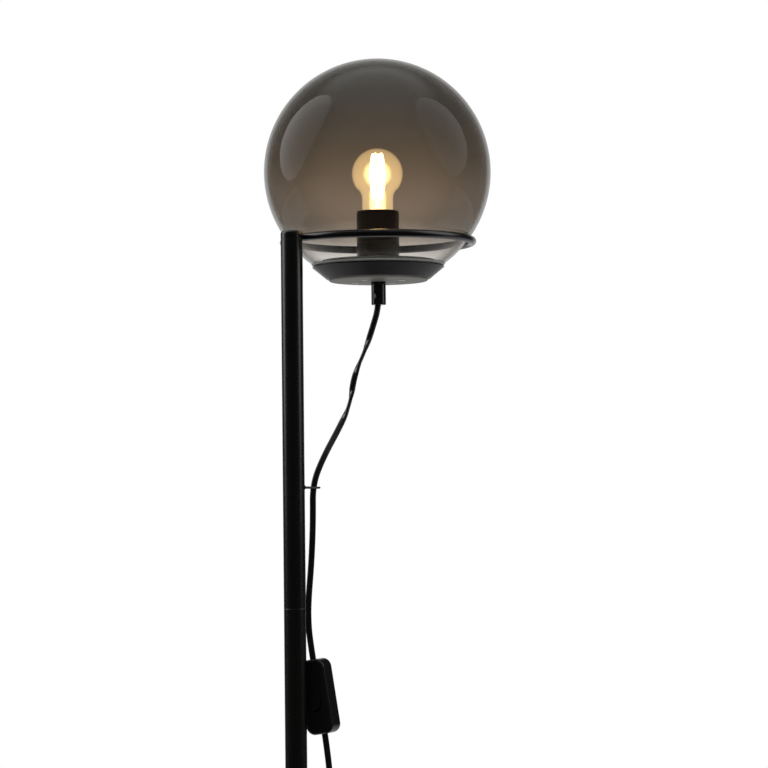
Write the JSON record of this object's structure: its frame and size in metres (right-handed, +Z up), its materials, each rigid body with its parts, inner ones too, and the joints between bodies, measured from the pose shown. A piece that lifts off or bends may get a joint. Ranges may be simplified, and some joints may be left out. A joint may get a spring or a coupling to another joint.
{
  "type": "globe floor lamp",
  "caption": "Floor lamp with a smoked glass globe resting in a wire ring on a slim sectional pole, round weighted base, and a cord with an in-line rocker switch.",
  "frame": {"origin": "on the floor, on the pole's axis", "axes": "+Z up along the pole, +X from the pole towards the globe, +Y completes a right-handed frame"},
  "size_m": [0.3361, 0.2886, 1.4774],
  "materials": {
    "black_steel": "satin powder coat",
    "weight_iron": "raw",
    "pad_rubber": "matt",
    "steel": "zinc plated",
    "smoked_glass": "clear smoke tint, glossy",
    "grey_silicone": "matt, slightly clear",
    "bakelite": "gloss",
    "grip_plastic": "gloss",
    "ceramic": "glazed",
    "brass": "plain",
    "wire_insulation": "satin",
    "bulb_glass": "clear, glossy",
    "bulb_metal": "nickel plated",
    "bulb_black": "gloss",
    "filament": "lit",
    "cord_black": "satin",
    "switch_black": "satin",
    "plug_black": "satin"
  },
  "bodies": {
    "stand": {"base_pad": "pad_rubber", "base_weight": "weight_iron", "base_cover": "black_steel", "base_washer": "steel", "base_bolt": "steel", "pole_section_1": "black_steel", "pole_section_2": "black_steel", "pole_section_3": "black_steel", "pole_section_4": "black_steel", "pole_inserts": "steel", "pole_studs": "steel", "pole_head": "black_steel", "support_ring": "black_steel", "cord_loop": "black_steel", "cord_upper": "cord_black", "switch_front": "switch_black", "switch_back": "switch_black", "switch_screws": "steel", "switch_contacts": "brass", "cord_lower": "cord_black", "cord_coil": "cord_black", "coil_tie": "plug_black", "cord_tail": "cord_black", "plug_relief": "plug_black", "plug_body": "plug_black", "plug_pins": "steel"},
    "fitting": {"cover_dish": "black_steel", "socket_pan": "steel", "standoffs": "steel", "underside_plate": "black_steel", "plate_screws": "black_steel", "cord_grip": "grip_plastic", "grip_screw": "grip_plastic", "socket_skirt": "bakelite", "socket_base": "bakelite", "contact_carrier": "ceramic", "screw_shell": "brass", "centre_contact": "brass", "terminals": "brass", "nipple": "brass", "nipple_nut": "brass", "socket_washer": "steel", "lead_wires": "wire_insulation"},
    "globe": {"glass_globe": "smoked_glass", "seal_ring": "grey_silicone"},
    "bulb_contact": {"bulb_tip": "bulb_metal"},
    "bulb": {"bulb_glass": "bulb_glass", "bulb_cap": "bulb_metal", "bulb_insulator": "bulb_black", "bulb_stem": "bulb_glass", "filaments": "filament", "support_wires": "bulb_metal"},
    "rocker": {"switch_rocker": "switch_black"}
  },
  "joints": [
    {"name": "globe_tilt", "type": "hinge", "parent": "stand", "child": "fitting", "pos_m": [0.0961, 0, 1.3774], "axis": [0, 1, 0], "range_deg": [-12, 12], "deforming": ["cord_upper"]},
    {"name": "globe_lift", "type": "slide", "parent": "fitting", "child": "globe", "axis": [0, 0, 1], "range_m": [0, 0.15]},
    {"name": "bulb_rise", "type": "slide", "parent": "fitting", "child": "bulb_contact", "axis": [0, 0, 1], "range_m": [0, 0.01089]},
    {"name": "bulb_turn", "type": "hinge", "parent": "bulb_contact", "child": "bulb", "pos_m": [0.0961, 0, 1.33], "axis": [0, 0, 1], "range_deg": [0, 1080]},
    {"name": "switch_rock", "type": "hinge", "parent": "stand", "child": "rocker", "pos_m": [0.01844, -0.00504, 0.91766], "axis": [0.3394, -0.9324, 0.1243], "range_deg": [0, 13]}
  ],
  "couplings": [
    {"joint": "bulb_turn", "follows": "bulb_rise", "rad_per_m": 1730.9}
  ]
}
